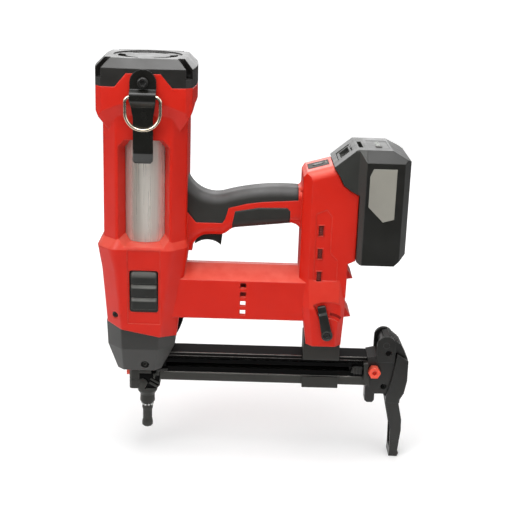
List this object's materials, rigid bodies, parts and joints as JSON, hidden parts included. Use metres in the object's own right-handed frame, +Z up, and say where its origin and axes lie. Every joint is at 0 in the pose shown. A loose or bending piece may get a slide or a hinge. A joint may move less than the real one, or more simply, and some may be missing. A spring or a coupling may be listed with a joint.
{
  "type": "cordless concrete nailer",
  "caption": "Upright cordless air-spring nailer with a windowed drive cylinder, pistol grip, battery pack, straight nail magazine, contact tip and folding support leg.",
  "frame": {"origin": "centre of the contact tip's lower rim, on the drive axis", "axes": "+Z up the drive axis, +X back along the magazine towards the battery, +Y towards the side without the hanger"},
  "size_m": [0.2982, 0.0979, 0.388],
  "materials": {
    "red": "satin moulded plastic",
    "dark_plastic": "fine-grained black plastic",
    "grey_plastic": "matt grey plastic",
    "rubber": "soft black rubber",
    "tube": "polished steel",
    "steel": "plain steel",
    "dark_steel": "blackened steel",
    "ring": "yellow-passivated steel",
    "cast": "dark painted casting",
    "rail": "grey anodised",
    "liner": "gloss black",
    "board": "green lacquer",
    "label": "plain silver film",
    "lamp": "clear green"
  },
  "bodies": {
    "frame": {"housing_left": "red", "housing_right": "red", "housing_screws": "dark_steel", "top_cap": "dark_plastic", "cap_screws": "dark_steel", "hanger_strap": "dark_steel", "hanger_screw": "dark_steel", "grip_upper": "rubber", "grip_lower": "rubber", "side_pad_left": "rubber", "side_pad_right": "rubber", "air_cylinder": "tube", "cylinder_head": "cast", "fill_valve": "steel", "cylinder_base": "cast", "bump_stop": "rubber", "lifter_bearings": "steel", "gearbox": "cast", "motor_can": "steel", "control_board": "board", "trigger_switch": "dark_plastic", "trigger_pin": "steel", "control_panel": "grey_plastic", "nose_housing": "cast", "nose_screws": "dark_steel", "nose_block": "dark_steel", "nose_front_plate": "dark_steel", "nose_collar": "dark_steel", "magazine_upper_rail": "rail", "magazine_lower_rail": "rail", "magazine_liner": "liner", "rear_bracket": "grey_plastic", "end_block": "grey_plastic", "ear_pin": "steel"},
    "driver": {"piston": "cast", "piston_seal": "rubber", "driver_blade": "steel"},
    "lifter": {"lifter_wheel": "steel", "lifter_pins": "steel", "lifter_shaft": "steel"},
    "rotor": {"motor_rotor": "steel", "cooling_fan": "dark_plastic"},
    "trigger": {"trigger": "dark_plastic"},
    "power_button": {"power_button": "dark_plastic"},
    "selector": {"selector_lever": "dark_plastic", "lever_screw": "dark_steel"},
    "jam_release": {"jam_release": "red"},
    "contact_tip": {"nose_tip": "dark_steel", "detent_balls": "steel"},
    "pusher": {"pusher": "dark_plastic"},
    "magazine_release": {"magazine_release": "red"},
    "leg": {"support_leg": "dark_steel"},
    "d_ring": {"d_ring": "ring"},
    "battery": {"pack_front_case": "grey_plastic", "pack_cell_case": "dark_plastic", "gauge_panel": "dark_plastic", "gauge_lamps": "lamp", "pack_label": "label"},
    "pack_latch": {"pack_latch": "dark_plastic"},
    "gauge_button": {"gauge_button": "grey_plastic"}
  },
  "joints": [
    {"name": "lifter_spin", "type": "hinge", "parent": "frame", "child": "lifter", "pos_m": [0.02, 0, 0.16], "axis": [0, 1, 0], "range_deg": [-306.9, 0]},
    {"name": "driver_slide", "type": "slide", "parent": "frame", "child": "driver", "axis": [0, 0, 1], "range_m": [-0.075, 0]},
    {"name": "rotor_spin", "type": "hinge", "parent": "frame", "child": "rotor", "pos_m": [0.098, 0, 0.1465], "axis": [1, 0, 0], "range_deg": [-3075, 0]},
    {"name": "trigger_pull", "type": "hinge", "parent": "frame", "child": "trigger", "pos_m": [0.0495, 0, 0.2048], "axis": [0, 1, 0], "range_deg": [-15, 0], "stiffness_Nm_per_rad": 0.3, "springref_deg": 17.19},
    {"name": "power_press", "type": "slide", "parent": "frame", "child": "power_button", "axis": [0.272, 0, -0.9623], "range_m": [0, 0.001], "stiffness_N_per_m": 200, "springref_m": -0.002},
    {"name": "selector_turn", "type": "hinge", "parent": "frame", "child": "selector", "pos_m": [0.171, -0.038, 0.115], "axis": [0, 1, 0], "range_deg": [0, 40]},
    {"name": "jam_press", "type": "slide", "parent": "frame", "child": "jam_release", "axis": [1, 0, 0], "range_m": [0, 0.003], "stiffness_N_per_m": 300, "springref_m": -0.003},
    {"name": "tip_press", "type": "slide", "parent": "frame", "child": "contact_tip", "axis": [0, 0, 1], "range_m": [0, 0.008], "stiffness_N_per_m": 400, "springref_m": -0.01},
    {"name": "pusher_feed", "type": "slide", "parent": "frame", "child": "pusher", "axis": [-1, 0, 0], "range_m": [0, 0.168]},
    {"name": "magazine_release_press", "type": "slide", "parent": "frame", "child": "magazine_release", "axis": [0, 1, 0], "range_m": [0, 0.004], "stiffness_N_per_m": 300, "springref_m": -0.003},
    {"name": "leg_fold", "type": "hinge", "parent": "frame", "child": "leg", "pos_m": [0.231, 0, 0.0975], "axis": [0, 1, 0], "range_deg": [-80, 0]},
    {"name": "ring_swing", "type": "hinge", "parent": "frame", "child": "d_ring", "pos_m": [0, -0.0488, 0.3344], "axis": [1, 0, 0], "range_deg": [-95, 0]},
    {"name": "battery_slide", "type": "slide", "parent": "frame", "child": "battery", "axis": [0, 0, 1], "range_m": [0, 0.11]},
    {"name": "latch_press", "type": "slide", "parent": "battery", "child": "pack_latch", "axis": [0.6363, 0, -0.7714], "range_m": [0, 0.003], "stiffness_N_per_m": 300, "springref_m": -0.003},
    {"name": "gauge_press", "type": "slide", "parent": "battery", "child": "gauge_button", "axis": [0, 0, -1], "range_m": [0, 0.0008], "stiffness_N_per_m": 200, "springref_m": -0.002}
  ],
  "couplings": [
    {"joint": "driver_slide", "follows": "lifter_spin", "m_per_rad": 0.014},
    {"joint": "rotor_spin", "follows": "lifter_spin", "ratio": 10}
  ]
}
